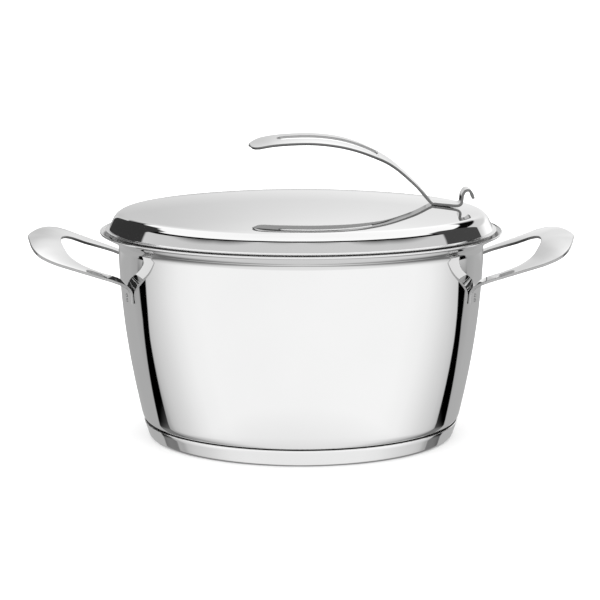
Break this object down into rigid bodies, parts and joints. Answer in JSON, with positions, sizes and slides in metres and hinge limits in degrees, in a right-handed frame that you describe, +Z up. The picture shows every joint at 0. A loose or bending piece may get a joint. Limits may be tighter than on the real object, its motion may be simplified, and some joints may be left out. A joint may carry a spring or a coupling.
{
  "type": "soup tureen",
  "caption": "Round stainless steel soup pot with a flared rim, looped side handles, a sandwich base and a domed lift-off lid with a slotted strap handle ending in a hook.",
  "frame": {"origin": "middle of the base underside, on the surface the pot stands on", "axes": "+Z up; the two side handles lie along X, and the foot and hook of the lid handle are on the +X side"},
  "size_m": [0.3626, 0.267, 0.2002],
  "materials": {
    "polished_steel": "mirror-polished stainless steel",
    "handle_steel": "polished stainless steel sheet",
    "base_steel": "polished sides with a fine turned underside",
    "core_aluminium": "bare, sealed between the base steels"
  },
  "bodies": {
    "pot": {"pot_body": "polished_steel", "base_core": "core_aluminium", "base_cap": "base_steel", "side_handle_right": "handle_steel", "side_handle_left": "handle_steel"},
    "lid": {"lid_shell": "polished_steel", "lid_handle": "handle_steel"}
  },
  "joints": [
    {"name": "lid_lift", "type": "slide", "parent": "pot", "child": "lid", "axis": [0, 0, 1], "range_m": [0, 0.15]}
  ]
}
